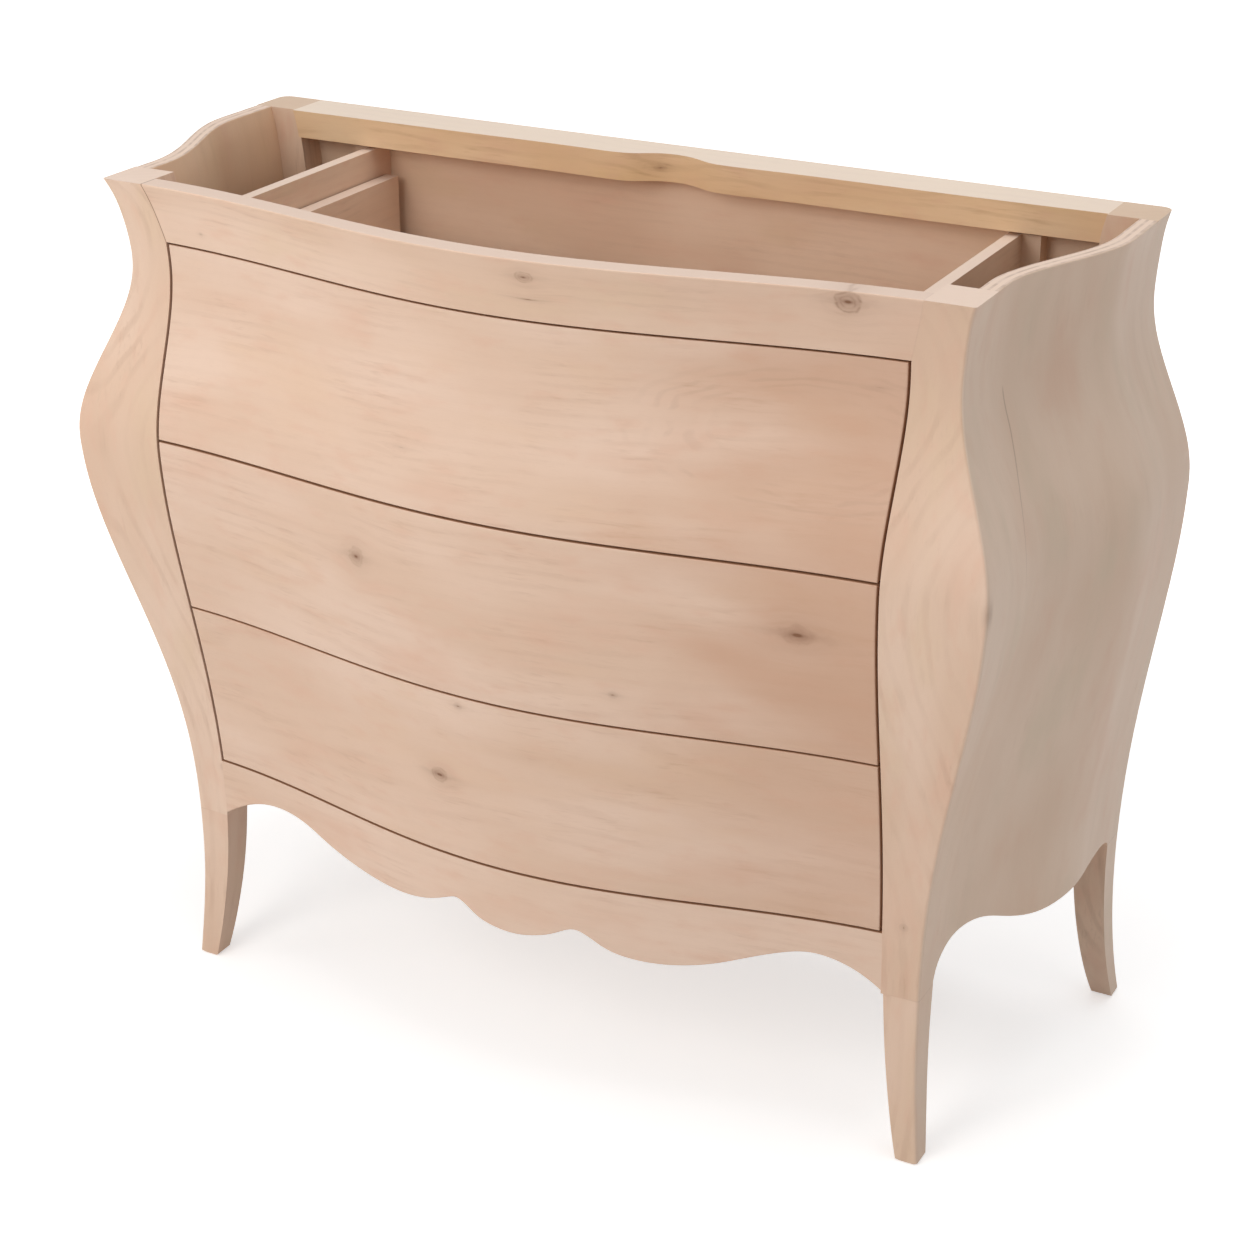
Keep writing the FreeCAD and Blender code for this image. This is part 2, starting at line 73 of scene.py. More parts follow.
# Tones of the wood as they look under plain light, except for painted light and shade. Each top
# tone is painted on upward faces: lighter, as painted light from above; the drawer fronts' top is
# their dark tone, painted shade in the gaps, and the back posts' top is darker. The side tones are
# greyer, partly as painted light and shade of the chest's sides.
tones_front = dict(pale=srgb(229, 200, 178), body=srgb(220, 188, 163), dark=srgb(176, 136, 108),
                   blush=srgb(222, 180, 155), straw=srgb(221, 192, 163), top=srgb(228, 206, 190))
tones_drawer = dict(pale=srgb(228, 199, 178), body=srgb(220, 188, 164), dark=srgb(172, 126, 94),
                    blush=srgb(219, 177, 152), straw=srgb(222, 188, 160), top=srgb(172, 126, 94))
# Greyer tones of the chest's outer sides: partly the outer wood, partly painted light and shade of
# the cool light on the sides
tones_side_and_shade = dict(pale=srgb(226, 201, 180), body=srgb(218, 190, 167), dark=srgb(180, 148, 121),
                  blush=srgb(218, 179, 155), straw=srgb(212, 192, 168), top=srgb(224, 202, 186))
tones_inside = dict(pale=srgb(224, 196, 172), body=srgb(213, 182, 157), dark=srgb(164, 128, 103),
                    blush=srgb(211, 167, 143), straw=srgb(212, 183, 153), top=srgb(228, 206, 190))
tones_back_post = dict(tones_inside, top=srgb(206, 180, 154))
tones_ply = dict(tones_inside, pale=srgb(222, 189, 158), body=srgb(212, 175, 143),
                 straw=srgb(210, 176, 140))
tones_straw = dict(pale=srgb(230, 198, 160), body=srgb(219, 182, 141), dark=srgb(172, 130, 92),
                   blush=srgb(218, 176, 145), straw=srgb(221, 186, 138), top=srgb(226, 208, 192))
tones_back_rail = dict(tones_straw, top=srgb(232, 218, 204))
# Brown of the front boards' right ends, partly painted shade of the light falling off towards the
# right
browning_and_shade_brown = srgb(196, 150, 120)
knot_brown = srgb(114, 70, 40)
steel_light = srgb(196, 190, 176)
steel_dark = srgb(168, 158, 132)

# Noise in the wood. A layer's cells are this long along the grain and this wide across it, in
# millimetres; then come its shift from the other layers, its detail, roughness and distortion
layers = {
    "drift": (320, 130, 2.0, 1.0, 0.5, 0.0),
    "cloud": (260, 95, 3.0, 2.0, 0.5, 0.0),
    "warmth": (150, 60, 4.0, 3.0, 0.55, 0.0),
    "mottle": (42, 15, 5.0, 3.0, 0.5, 0.0),
    "bands": (420, 26, 6.0, 1.0, 0.5, 0.0),
    "streaks": (27, 3, 7.0, 2.0, 0.5, 0.3),
    "fibres": (16, 0.9, 8.0, 2.0, 0.6, 0.0),
    "pores": (7, 0.45, 9.0, 1.0, 0.5, 0.0),
    "patches": (90, 45, 10.0, 2.0, 0.5, 0.0),
    "ring_wander": (180, 45, 11.0, 2.0, 0.5, 0.0),
    "browning_wander": (160, 60, 12.0, 2.0, 0.5, 0.0),
    "knot_wobble": (9, 6, 5.0, 1.0, 0.5, 0.0),
    "knot_gaps": (5, 4, 5.5, 1.0, 0.5, 0.0),
    "veneer_gaps": (20, 14, 13.0, 2.0, 0.5, 0.0),
    "arc_wander": (70, 22, 14.0, 2.0, 0.5, 0.0),
    "arc_gaps": (45, 16, 15.0, 2.0, 0.5, 0.0),
    "scratches": (6, 0.3, 1.0, 3.0, 0.5, 0.0),
}

# Where a board's noise starts for each step of its seed, and the share of that across the grain
seed_step = 7.31
seed_share_v = 0.37
seed_share_w = 0.71

# How fast the figure changes through a board, and through bent ply, against along its face
through_board = 0.3
through_ply = 0.02

# Tints over a board's pale tone, in this order: tone, noise, where it starts, where it is full, how
# strong it is, and whether that goes with the board's figure
tints = [
    ("body", "cloud", 0.32, 0.68, 1.0, False),
    ("blush", "warmth", 0.52, 0.76, 0.48, False),
    ("straw", "warmth", 0.48, 0.26, 0.55, False),
    ("blush", "mottle", 0.50, 0.75, 0.36, True),
]

# Noises that darken the wood: where each starts to show and where it shows in full
shown_ranges = {
    "streaks": (0.50, 0.80),
    "bands": (0.45, 0.75),
    "fibres": (0.45, 0.75),
    "pores": (0.63, 0.76),
    "patches": (0.44, 0.66),
}
streak_shade = 0.19
band_shade = 0.05
fibre_shade = 0.035
pore_shade = 0.06

# Share of the streaks and of the rings that shows outside the patches
streaks_least = 0.07
rings_least = 0.2

# How far the grain drifts, the rings wander and the border of the browner right end wanders
drift_reach = 10 * mm
ring_reach = 14 * mm
browning_reach = 0.30

# Height of the surface by noise, how the light takes it, and how dull it is when low and high
fibre_height = 0.5
streak_height = 0.3
pore_height = -0.8
spot_height = -0.5
bump_strength = 0.25
bump_distance = 0.25 * mm
height_range = (0.0, 0.5)
wood_dullness = (0.62, 0.52)
wood_ior = 1.45

# Ranges of the surface's direction over which a board turns to its outer side's wood, partly
# painted light and shade of the chest's sides; from its front to its edges and back, painted darker
# as shade in the gaps; and to its top, painted with the top tone
outward_range = (0.45, 0.70)
gap_shade_range = (-0.55, -0.25)
upward_range = (0.70, 0.95)
painted_top_share = 0.75
darkest_spot = 0.92

# Knots, in their half sizes from the middle: each part's place, width and share of the darkness. A
# clear knot has a rim and a ring inside it, an unclear one has neither
rim_place, rim_width, rim_share = 0.95, 0.12, 0.42
ring_place, ring_width, ring_share = 0.55, 0.09, 0.18
pith_narrow, pith_low, pith_width, pith_share = 2.8, 5.0, 0.8, 0.66
halo_width, halo_share = 1.9, 0.13
tail_length, tail_width, tail_wobble, tail_share = 2.4, 0.42, 0.9, 0.15
body_share = 0.18
knot_gap_range = (0.30, 0.62, 0.25, 1.0)

# What differs between an unclear knot and a clear one: how uneven its outline is, and where its
# body starts and where it is full
outline_wobble = (0.75, 0.30)
body_start = (1.30, 1.12)
body_full = (0.35, 0.75)

# How fast a knot's pull on the grain round it fades, and how strong it is
pull_fade = 0.18
pull_strength = 0.75

# Steel: the range of its scratches, and how dull it is from one end of it to the other
scratch_range = (0.3, 0.7)
steel_dullness = (0.25, 0.42)


# ---- node building ----------------------------------------------------------------------------

class Shader:
    """Node tree of a material or a world, built from sockets and numbers."""

    def __init__(self, owner):
        owner.use_nodes = True
        self.owner = owner
        self.tree = owner.node_tree
        self.tree.nodes.clear()

    def node(self, kind, inputs=None, **settings):
        made = self.tree.nodes.new(kind)
        for key, value in settings.items():
            setattr(made, key, value)
        for key, value in (inputs or {}).items():
            self.feed(made.inputs[key], value)
        return made

    def feed(self, socket, value):
        if isinstance(value, bpy.types.NodeSocket):
            self.tree.links.new(value, socket)
        else:
            socket.default_value = value

    def calc(self, operation, *values):
        made = self.node("ShaderNodeMath", operation=operation)
        for socket, value in zip(made.inputs, values):
            self.feed(socket, value)
        return made.outputs[0]

    def add(self, a, b):
        return self.calc("ADD", a, b)

    def minus(self, a, b):
        return self.calc("SUBTRACT", a, b)

    def times(self, a, b):
        return self.calc("MULTIPLY", a, b)

    def scaled(self, value, factor, start):
        """start + value * factor."""
        return self.calc("MULTIPLY_ADD", value, factor, start)

    def weighted(self, *parts):
        """Sum of values, each times its weight."""
        total = 0.0
        for value, weight in parts:
            total = self.scaled(value, weight, total)
        return total

    def squared(self, value):
        return self.times(value, value)

    def length(self, a, b):
        """How far the point (a, b) is from (0, 0)."""
        return self.calc("SQRT", self.add(self.squared(a), self.squared(b)))

    def bell(self, value, width):
        """A soft bump of height 1 where value is 0."""
        return self.calc("EXPONENT", self.times(self.squared(value), -1.0 / width ** 2))

    def waves(self, distance, pitch):
        """Waves from -1 to 1, one in each pitch."""
        return self.calc("SINE", self.times(distance, 2.0 * math.pi / pitch))

    def ramp(self, value, low, high, start=0.0, end=1.0):
        """Smooth step of value from low to high, given out from start to end."""
        made = self.node("ShaderNodeMapRange", {0: value, 1: low, 2: high, 3: start, 4: end},
                         interpolation_type="SMOOTHSTEP")
        return made.outputs[0]

    def split(self, vector):
        return self.node("ShaderNodeSeparateXYZ", {0: vector}).outputs

    def coordinates(self, kind):
        """x, y and z of the object's own place ("Object") or direction ("Normal")."""
        return self.split(self.node("ShaderNodeTexCoord").outputs[kind])

    def mix(self, share, a, b):
        """A number between two."""
        return self.node("ShaderNodeMix", {0: share, 2: a, 3: b}).outputs[0]

    def blend(self, share, a, b):
        """A colour between two."""
        made = self.node("ShaderNodeMix", {0: share, 6: a, 7: b}, data_type="RGBA")
        return made.outputs[2]

    def seen(self):
        """1 for what is looked at, also in or through something, and 0 for light on the object."""
        path = self.node("ShaderNodeLightPath").outputs
        indirect = self.calc("MAXIMUM", path["Is Glossy Ray"], path["Is Transmission Ray"])
        return self.calc("MAXIMUM", path["Is Camera Ray"], indirect)

    def finish(self, surface, output="ShaderNodeOutputMaterial"):
        self.node(output, {"Surface": surface})
        return self.owner


# ---- wood -------------------------------------------------------------------------------------

class Grain:
    """Coordinates of a board along its grain (u) and across it (v, w), in metres.

    Through a board cut along its grain the figure changes slowly, and bent ply has its grain in
    the plane of its veneers, so there the third coordinate counts less.
    """

    def __init__(self, s, axis, seed):
        self.s = s
        x, y, z = s.coordinates("Object")
        self.u, self.v, through, share = {
            "X": (x, z, y, through_board), "Y": (y, z, x, through_board),
            "Z": (z, x, y, 1.0), "Z bent": (z, y, x, through_ply)}[axis]
        self.w = s.times(through, share)
        self.seed = seed

    def noise(self, layer):
        """One layer of noise, in cells that are long along the grain."""
        length, width, shift, detail, roughness, distortion = layers[layer]
        along = 1.0 / (length * mm)
        across = 1.0 / (width * mm)
        start = self.seed * seed_step + shift
        s = self.s
        place = s.node("ShaderNodeCombineXYZ", {
            0: s.scaled(self.u, along, start),
            1: s.scaled(self.v, across, start * seed_share_v),
            2: s.scaled(self.w, across, start * seed_share_w)})
        made = s.node("ShaderNodeTexNoise", {
            "Vector": place.outputs[0], "Scale": 1.0, "Detail": detail, "Roughness": roughness,
            "Distortion": distortion})
        return made.outputs[0]


def between(pair, share):
    return pair[0] + (pair[1] - pair[0]) * share


def knot_mark(s, grain, knot, wobble, gaps):
    """Darkness of one knot, whose measures are in millimetres; the grain is led round it."""
    u, v, half_u, half_v = (value * mm for value in knot[:4])
    darkness, clear = knot[4:]
    over = s.minus(grain.v, v)
    along = s.times(s.minus(grain.u, u), 1.0 / half_u)
    across = s.times(over, 1.0 / half_v)
    round_far = s.length(along, across)
    far = s.scaled(wobble, between(outline_wobble, clear), round_far)

    rim = s.times(s.bell(s.minus(far, rim_place), rim_width), gaps)
    ring = s.times(s.bell(s.minus(far, ring_place), ring_width), gaps)
    body = s.ramp(far, between(body_start, clear), between(body_full, clear))
    pith = s.bell(s.length(s.times(along, pith_narrow), s.times(across, pith_low)), pith_width)
    halo = s.bell(round_far, halo_width)
    tail_across = s.scaled(wobble, tail_wobble, across)
    tail = s.times(s.bell(tail_across, tail_width), s.bell(along, tail_length))
    amount = s.weighted((rim, rim_share * clear), (ring, ring_share * clear), (body, body_share),
                        (pith, pith_share), (halo, halo_share), (tail, tail_share))

    pull = s.calc("EXPONENT", s.times(s.squared(round_far), -pull_fade))
    grain.v = s.minus(grain.v, s.times(s.times(over, pull), pull_strength))
    return s.times(amount, darkness)


def knot_marks(s, grain, knots):
    """Darkness of all the knots of a board."""
    wobble = s.minus(grain.noise("knot_wobble"), 0.5)
    gaps = s.ramp(grain.noise("knot_gaps"), *knot_gap_range)
    dark = 0.0
    for knot in knots:
        dark = s.add(dark, knot_mark(s, grain, knot, wobble, gaps))
    return dark


def growth_rings(s, grain, pith, spacing):
    """Soft dark lines of growth rings round a pith that lies at (v, w)."""
    radius = s.length(s.minus(grain.v, pith[0]), s.minus(grain.w, pith[1]))
    radius = s.scaled(grain.noise("ring_wander"), ring_reach, radius)
    return s.ramp(s.waves(radius, spacing), 0.0, 1.0)


def figured(s, grain, tones, pith, spacing, figure, rings):
    """Colour and surface height of sanded wood, without knots."""
    drift = s.minus(grain.noise("drift"), 0.5)
    grain.v = s.scaled(drift, drift_reach, grain.v)
    noise = {layer: grain.noise(layer) for layer in ("cloud", "warmth", "mottle", *shown_ranges)}
    shown = {layer: s.ramp(noise[layer], *reach) for layer, reach in shown_ranges.items()}

    colour = tones["pale"]
    for tone, layer, start, full, strength, with_figure in tints:
        if with_figure:
            strength *= figure
        colour = s.blend(s.ramp(noise[layer], start, full, 0.0, strength), colour, tones[tone])

    streak_patches = s.scaled(shown["patches"], 1.0 - streaks_least, streaks_least)
    ring_patches = s.scaled(shown["patches"], 1.0 - rings_least, rings_least)
    ring_lines = growth_rings(s, grain, pith, spacing)
    shade = s.weighted((s.times(shown["streaks"], streak_patches), streak_shade * figure),
                       (shown["bands"], band_shade * figure),
                       (s.times(ring_lines, ring_patches), rings),
                       (shown["fibres"], fibre_shade),
                       (shown["pores"], pore_shade))
    height = s.weighted((noise["fibres"], fibre_height), (noise["streaks"], streak_height),
                        (shown["pores"], pore_height))
    return s.blend(shade, colour, tones["dark"]), height


def wood(name, axis, tones, seed, pith=(0.02, 0.30), spacing=9 * mm, figure=1.0, rings=0.12,
         knots=(), marks=None, lean=0.0, skin=None, edge=0.0, browning_and_shade=None):
    """Sanded raw wood.

    pith and spacing place the growth rings, and rings and figure are how dark they and the other
    lines are. marks(shader, grain) gives more darkness, such as joint lines. lean is how much the
    grain leans. skin is the outer side's wood, seen where a board faces away from
    the middle of the chest: its seed and its tones, which are greyer, partly as painted light and
    shade of the chest's sides. edge is how much darker the board's edges and back are than its
    front: painted shade in the gaps. browning_and_shade is where along the board browner wood sets
    in, where it is full, and how strong it is; this darkens the right end, partly as painted shade
    of the light falling off there. Each knot is its place along and across the grain, its half
    length and half height, all in millimetres, its darkness, and how clear its rim is.
    """
    s = Shader(bpy.data.materials.new(name))
    grain = Grain(s, axis, seed)
    dark = marks(s, grain) if marks else 0.0
    if knots:
        dark = s.add(dark, knot_marks(s, grain, knots))
    grain.v = s.scaled(grain.u, -lean, grain.v)
    colour, height = figured(s, grain, tones, pith, spacing, figure, rings)
    # Browner wood towards the right end, partly painted shade of the light falling off there
    if browning_and_shade:
        start, full, strength = browning_and_shade
        place = s.scaled(grain.noise("browning_wander"), browning_reach,
                         s.minus(grain.u, browning_reach / 2.0))
        colour = s.blend(s.ramp(place, start, full, 0.0, strength), colour, browning_and_shade_brown)

    facing = s.coordinates("Normal")
    # Faces turned away from the middle take the greyer outer tones: partly the outer wood, partly
    # painted light and shade of the chest's sides
    if skin:
        skin_seed, skin_tones = skin
        outer_and_shade_colour, outer_height = figured(s, Grain(s, "Z bent", skin_seed), skin_tones,
                                             **skin_look)
        away = s.times(facing[0], s.calc("SIGN", s.coordinates("Object")[0]))
        outward = s.ramp(away, *outward_range)
        colour = s.blend(outward, colour, outer_and_shade_colour)
        height = s.mix(outward, height, outer_height)
    # Painted shade: the edges and back of a front board darken, as shade in the gaps round it
    if edge:
        colour = s.blend(s.ramp(facing[1], *gap_shade_range, 0.0, edge), colour, tones["dark"])
    # Painted top: upward faces take the top tone, lighter as light from above, dark on the drawer
    # fronts as shade in the gaps
    colour = s.blend(s.ramp(facing[2], *upward_range, 0.0, painted_top_share), colour, tones["top"])
    spot = s.calc("MINIMUM", dark, darkest_spot)
    colour = s.blend(spot, colour, knot_brown)
    height = s.scaled(spot, spot_height, height)

    bump = s.node("ShaderNodeBump", {"Height": height, "Strength": bump_strength,
                                     "Distance": bump_distance})
    dullness = s.ramp(height, *height_range, *wood_dullness)
    surface = s.node("ShaderNodeBsdfPrincipled", {
        "Base Color": colour, "Roughness": dullness, "Normal": bump.outputs[0], "IOR": wood_ior})
    return s.finish(surface.outputs[0])


def steel(name):
    """Zinc-plated screw: brushed, slightly yellowed."""
    s = Shader(bpy.data.materials.new(name))
    scratches = Grain(s, "X", 3.0).noise("scratches")
    surface = s.node("ShaderNodeBsdfPrincipled", {
        "Base Color": s.blend(scratches, steel_light, steel_dark), "Metallic": 1.0,
        "Roughness": s.ramp(scratches, *scratch_range, *steel_dullness)})
    return s.finish(surface.outputs[0])


# ---- marks on single boards -------------------------------------------------------------------

# Hairline at the top rail's ends: how near to the end it starts and where it is full, how dark it
# is, and the width over which it goes from faint on the right to full on the left
rail_joint_range = (1.5 * mm, 0.4 * mm)
rail_joint_dark = 0.75
rail_joint_sides = (0.05, -0.05, 0.08, 1.0)

leg_joint_width = 0.5 * mm
leg_joint_dark = 0.35

# Side panel's top edge: how far apart its dark veneers are, how much of each wave is dark and how
# dark it gets; where the side swings out from its front width to its back width
veneer_pitch = 6.8 * mm
veneer_wave = (0.0, 0.7)
veneer_dark = (0.35, 0.65, 0.10, 0.34)
side_swing = (-0.0924, 0.0826)
side_half = (0.424, 0.4735)

# Oval of the top drawer: its middle, how much longer than high it is, and its arcs: how far they
# wander, how far apart they are, how far out they lie, over which width, and how dark they are
oval_middle = (0.290, 0.700)
oval_stretch = 2.4
arc_reach = 16 * mm
arc_pitch = 7 * mm
arc_wave = (-0.2, 1.0)
arc_gap_range = (0.42, 0.62)
arc_place = 58 * mm
arc_width = 14 * mm
arc_dark = 0.085

# Spot on the right post's edge: its height and half height, its ranges in x and y, its darkness
spot_z = 0.585
spot_half = 11 * mm
spot_x = (0.449, 0.459)
spot_y = (-0.178, -0.187)
spot_dark = 0.30

# Joint in the right side. From one height to another it runs from one depth to another, and below
# that it bends back; then the heights where it ends and where it gets its full darkness
side_joint_run = (0.710, 0.595, -0.0691, -0.1025)
side_joint_bend = (0.590, 0.535, 0.0, 0.0125)
side_joint_end = (0.738, 0.729)
side_joint_dark = (0.53, 0.70, 0.0, 0.4)
side_joint_width = 0.7 * mm


def rail_joint(s, grain):
    """Dark hairline where the top rail meets the posts; it is open on the left only."""
    low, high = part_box("front_top_rail")
    top_half = high.x
    bottom_half = max(v.co.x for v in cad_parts["front_top_rail"].data.vertices
                      if v.co.z < low.z + 2 * mm)
    share = s.times(s.minus(grain.v, low.z), 1.0 / (high.z - low.z))
    half = s.scaled(share, top_half - bottom_half, bottom_half)
    gap = s.minus(half, s.calc("ABSOLUTE", grain.u))
    side = s.ramp(grain.u, *rail_joint_sides)
    return s.times(s.ramp(gap, *rail_joint_range, 0.0, rail_joint_dark), side)


def leg_joint(height):
    """Faint dark line where a leg meets the post above it."""
    def line(s, grain):
        return s.times(s.bell(s.minus(grain.u, height), leg_joint_width), leg_joint_dark)
    return line


def veneers(s, grain):
    """Dark veneers that show as lines along the top edge of bent ply."""
    x, y, _ = s.coordinates("Object")
    upward = s.ramp(s.coordinates("Normal")[2], *upward_range)
    outer = s.ramp(y, *side_swing, *side_half)
    depth = s.minus(outer, s.calc("ABSOLUTE", x))
    dark = s.ramp(grain.noise("veneer_gaps"), *veneer_dark)
    line = s.times(s.ramp(s.waves(depth, veneer_pitch), *veneer_wave), dark)
    return s.times(line, upward)


def side_joint(s, grain):
    """Hairline of the glued joint that shows through the right side's upper front."""
    place = s.add(s.ramp(grain.u, *side_joint_run), s.ramp(grain.u, *side_joint_bend))
    line = s.bell(s.minus(grain.v, place), side_joint_width)
    fade = s.times(s.ramp(grain.u, *side_joint_end), s.ramp(grain.u, *side_joint_dark))
    return s.times(line, fade)


def ply_marks(s, grain):
    """The right side panel's veneer lines and its joint's hairline."""
    return s.add(veneers(s, grain), side_joint(s, grain))


def oval_figure(s, grain):
    """Faint flat arcs round a plain oval of the top drawer, where the grain dips through it."""
    along = s.times(s.minus(grain.u, oval_middle[0]), 1.0 / oval_stretch)
    radius = s.length(along, s.minus(grain.v, oval_middle[1]))
    radius = s.scaled(grain.noise("arc_wander"), arc_reach, radius)
    gaps = s.ramp(grain.noise("arc_gaps"), *arc_gap_range)
    lines = s.ramp(s.waves(radius, arc_pitch), *arc_wave)
    arcs = s.times(lines, s.bell(s.minus(radius, arc_place), arc_width))
    return s.times(s.times(arcs, gaps), arc_dark)


def edge_spot(s, grain):
    """Small brown spot on the right post's outer edge, at the widest swell."""
    tall = s.bell(s.minus(grain.u, spot_z), spot_half)
    at_edge = s.times(s.ramp(grain.v, *spot_x), s.ramp(grain.w, *spot_y))
    return s.times(s.times(tall, at_edge), spot_dark)


# ---- boards -----------------------------------------------------------------------------------

# Each front board's browner right end is partly painted shade of the light falling off there
front_boards = {
    "front_top_rail": dict(
        tones=tones_front, browning_and_shade=(0.16, 0.40, 0.25), marks=rail_joint,
        knots=[(45.8, 814.0, 8.0, 5.5, 0.8, 0.5), (47.0, 795.0, 10.0, 1.6, 0.9, 0.0),
               (317.5, 820.0, 11.0, 9.5, 1.0, 0.7), (-322.0, 789.0, 2.5, 2.0, 0.5, 0.0)]),
    "drawer_top_front": dict(
        tones=tones_drawer, browning_and_shade=(0.10, 0.33, 0.55), marks=oval_figure, lean=0.03,
        knots=[(-75.0, 647.0, 9.0, 3.0, 0.25, 0.0), (342.0, 748.0, 12.0, 3.0, 0.25, 0.0)]),
    "drawer_middle_front": dict(
        tones=tones_drawer, browning_and_shade=(0.12, 0.34, 0.60),
        knots=[(-127.0, 534.5, 8.0, 10.0, 0.9, 0.25), (294.0, 536.0, 14.0, 9.5, 1.15, 0.15),
               (127.0, 449.5, 4.5, 3.5, 0.7, 0.1)]),
    "drawer_bottom_front": dict(
        tones=tones_drawer, browning_and_shade=(0.10, 0.34, 0.35),
        knots=[(-59.0, 322.5, 9.0, 7.5, 1.15, 0.3), (-29.0, 405.0, 4.5, 3.5, 0.8, 0.1)]),
    "front_apron": dict(tones=tones_drawer, browning_and_shade=(0.30, 0.50, 0.10)),
}
post_pith = {"left": (-0.47, -0.02), "right": (0.56, -0.42)}
post_knots = {"front_post_left": [(228.0, -358.0, 4.0, 4.0, 0.5, 0.3)],
              "front_post_right": [(246.5, 379.0, 4.0, 4.0, 0.5, 0.3)]}
post_marks = {"front_post_right": edge_spot}
back_rail_knots = [(-17.0, 816.0, 6.0, 2.5, 0.7, 0.2), (-10.0, 818.0, 12.0, 2.0, 0.3, 0.0)]

# Calm, wide figure of bent ply: inside, and of the sides' outer wood
ply_look = dict(pith=(0.9, 0.0), spacing=26 * mm, figure=0.4, rings=0.04)
skin_look = dict(pith=(0.9, 0.0), spacing=26 * mm, figure=0.45, rings=0.05)


def paint(node, material):
    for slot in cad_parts[node].material_slots:
        slot.material = material


def dress(node, axis, tones, seed, **looks):
    """Give a board wood of its own."""
    paint(node, wood(node + "_wood", axis, tones, seed, **looks))


def dress_front():
    for number, (node, board) in enumerate(front_boards.items()):
        # The front boards' darker edges and backs are painted shade in the gaps
        dress(node, "X", seed=1.0 + number, pith=(0.15 * number, 0.20), rings=0.09, edge=0.8,
              **board)


def dress_sides():
    seeds = itertools.count(20.0)
    for side, x in (("left", -1.0), ("right", 1.0)):
        # Outer tones of the sides, partly painted light and shade of the chest's sides; on the
        # posts and legs they show on the outward faces only
        skin = (40.0 + x, tones_side_and_shade)
        for node in ("front_post", "front_leg", "back_post", "back_leg"):
            name = node + "_" + side
            front = "front" in node
            marks = leg_joint(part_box(name)[1].z) if "leg" in node else post_marks.get(name)
            dress(name, "Z", tones_front if front else tones_back_post, next(seeds),
                  pith=post_pith[side] if front else (x * 0.40, 0.28), spacing=10 * mm, rings=0.2,
                  knots=post_knots.get(name, ()), marks=marks, skin=skin)
        marks = ply_marks if side == "right" else veneers
        dress("side_panel_" + side, "Z bent", tones_ply, next(seeds), marks=marks, skin=skin,
              **ply_look)
        for node in ("guide_cleat", "guide_spacers"):
            dress(node + "_" + side, "Z", tones_inside, next(seeds))


def dress_inside():
    seeds = itertools.count(50.0)
    for node in ("guide_board", "runner_bottom", "runner_middle", "runner_top",
                 "drawer_bottom_side", "drawer_middle_side", "drawer_top_side"):
        for side in ("left", "right"):
            dress(node + "_" + side, "Y", tones_inside, next(seeds))
    dress("back_panel", "X", tones_inside, next(seeds), figure=0.55, rings=0.07)
    dress("back_bottom_rail", "X", tones_inside, next(seeds))
    for level in ("bottom", "middle", "top"):
        for part in ("_back", "_bottom"):
            dress("drawer_" + level + part, "X", tones_inside, next(seeds))


def dress_back_rail():
    dress("back_top_rail", "X", tones_back_rail, 77.0, pith=(0.9, 0.25), spacing=5 * mm,
          rings=0.18, figure=1.2, knots=back_rail_knots)


def dress_small():
    for node in ("front_rail_dowels", "apron_dowels", "back_rail_dowels"):
        dress(node, "X", tones_straw, 81.0)
    dress("leg_dowels", "Z", tones_straw, 82.0)
    dress("drawer_stops", "Y", tones_straw, 83.0)
    for level in ("bottom", "middle", "top"):
        dress("drawer_" + level + "_dowels", "Y", tones_straw, 84.0)
    screws = steel("screw_steel_look")
    paint("runner_screws", screws)
    paint("cleat_screws", screws)


# ---- camera, light and floor ------------------------------------------------------------------

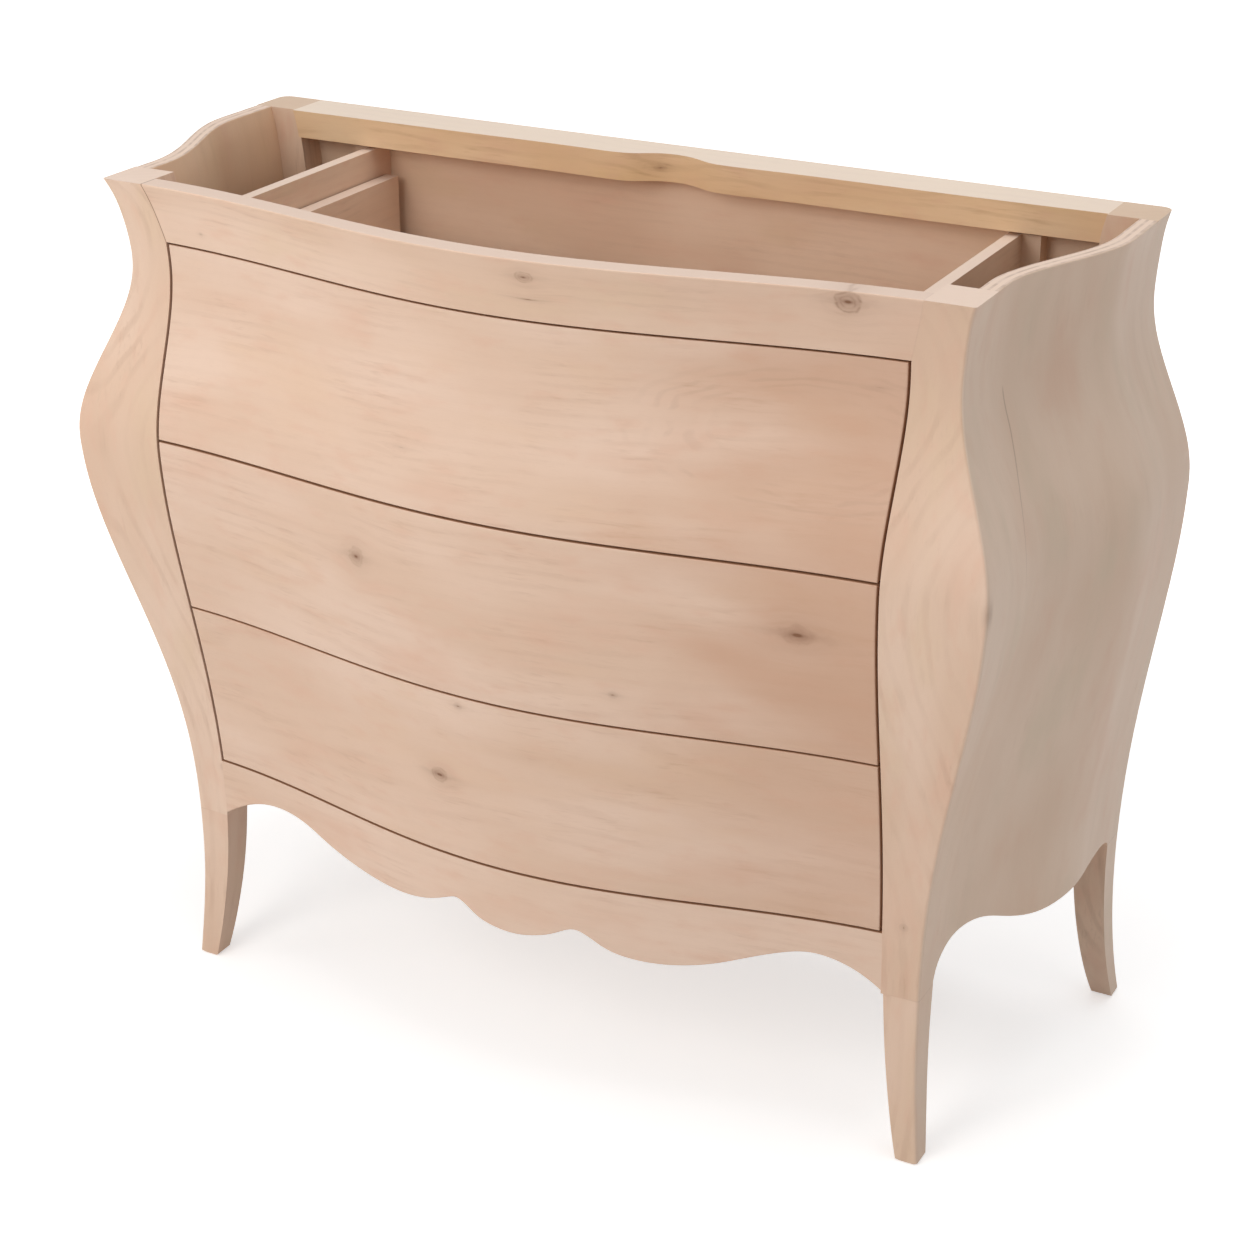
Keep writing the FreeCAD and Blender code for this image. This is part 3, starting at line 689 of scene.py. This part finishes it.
def add_camera():
    ahead = Vector((-math.sin(camera_yaw) * math.cos(camera_pitch),
                    math.cos(camera_yaw) * math.cos(camera_pitch), math.sin(camera_pitch)))
    level = Vector((math.cos(camera_yaw), math.sin(camera_yaw), 0.0))
    upright = level.cross(ahead)
    right = math.cos(camera_roll) * level + math.sin(camera_roll) * upright
    up = math.cos(camera_roll) * upright - math.sin(camera_roll) * level
    data = bpy.data.cameras.new("camera")
    data.lens = camera_lens
    data.sensor_width = camera_sensor
    data.shift_x, data.shift_y = camera_shift
    camera = bpy.data.objects.new("camera", data)
    turn = Matrix((right, up, -ahead)).transposed().to_4x4()
    camera.matrix_world = Matrix.Translation(camera_place) @ turn
    bpy.context.scene.collection.objects.link(camera)
    bpy.context.scene.camera = camera


def add_lamps():
    for name, place, size, watts, colour in lamps:
        data = bpy.data.lights.new(name, "AREA")
        data.shape = "DISK"
        data.size = size
        data.energy = watts
        data.color = colour
        lamp = bpy.data.objects.new(name, data)
        lamp.location = place
        lamp.rotation_euler = (lamp_target - Vector(place)).to_track_quat("-Z", "Y").to_euler()
        bpy.context.scene.collection.objects.link(lamp)


def add_world():
    """Even pale surroundings that look white."""
    s = Shader(bpy.data.worlds.new("studio"))
    light = s.node("ShaderNodeBackground", {"Color": ambient_colour, "Strength": ambient_strength})
    backdrop = s.node("ShaderNodeBackground", {"Color": white})
    both = s.node("ShaderNodeMixShader", {0: s.seen(), 1: light.outputs[0],
                                          2: backdrop.outputs[0]})
    bpy.context.scene.world = s.finish(both.outputs[0], "ShaderNodeOutputWorld")


def add_floor():
    """A pale floor that turns white away from the object's soft shadow."""
    mesh = bpy.data.meshes.new("floor")
    corners = [(-floor_half, -floor_half, 0.0), (floor_half, -floor_half, 0.0),
               (floor_half, floor_half, 0.0), (-floor_half, floor_half, 0.0)]
    mesh.from_pydata(corners, [], [(0, 1, 2, 3)])
    floor = bpy.data.objects.new("floor", mesh)
    bpy.context.scene.collection.objects.link(floor)
    s = Shader(bpy.data.materials.new("floor_paint"))
    place = s.node("ShaderNodeTexCoord").outputs["Object"]
    away = s.node("ShaderNodeVectorMath", {0: place}, operation="LENGTH").outputs["Value"]
    lift = s.ramp(away, floor_near, floor_far, floor_lift_near, floor_lift_far)
    matt = s.node("ShaderNodeBsdfDiffuse", {"Color": floor_albedo})
    glow = s.node("ShaderNodeEmission", {"Strength": s.times(s.seen(), lift)})
    both = s.node("ShaderNodeAddShader", {0: matt.outputs[0], 1: glow.outputs[0]})
    mesh.materials.append(s.finish(both.outputs[0]))


def main():
    bpy.context.scene.view_settings.view_transform = "Standard"
    add_camera()
    add_lamps()
    add_world()
    add_floor()
    dress_front()
    dress_sides()
    dress_inside()
    dress_back_rail()
    dress_small()


main()
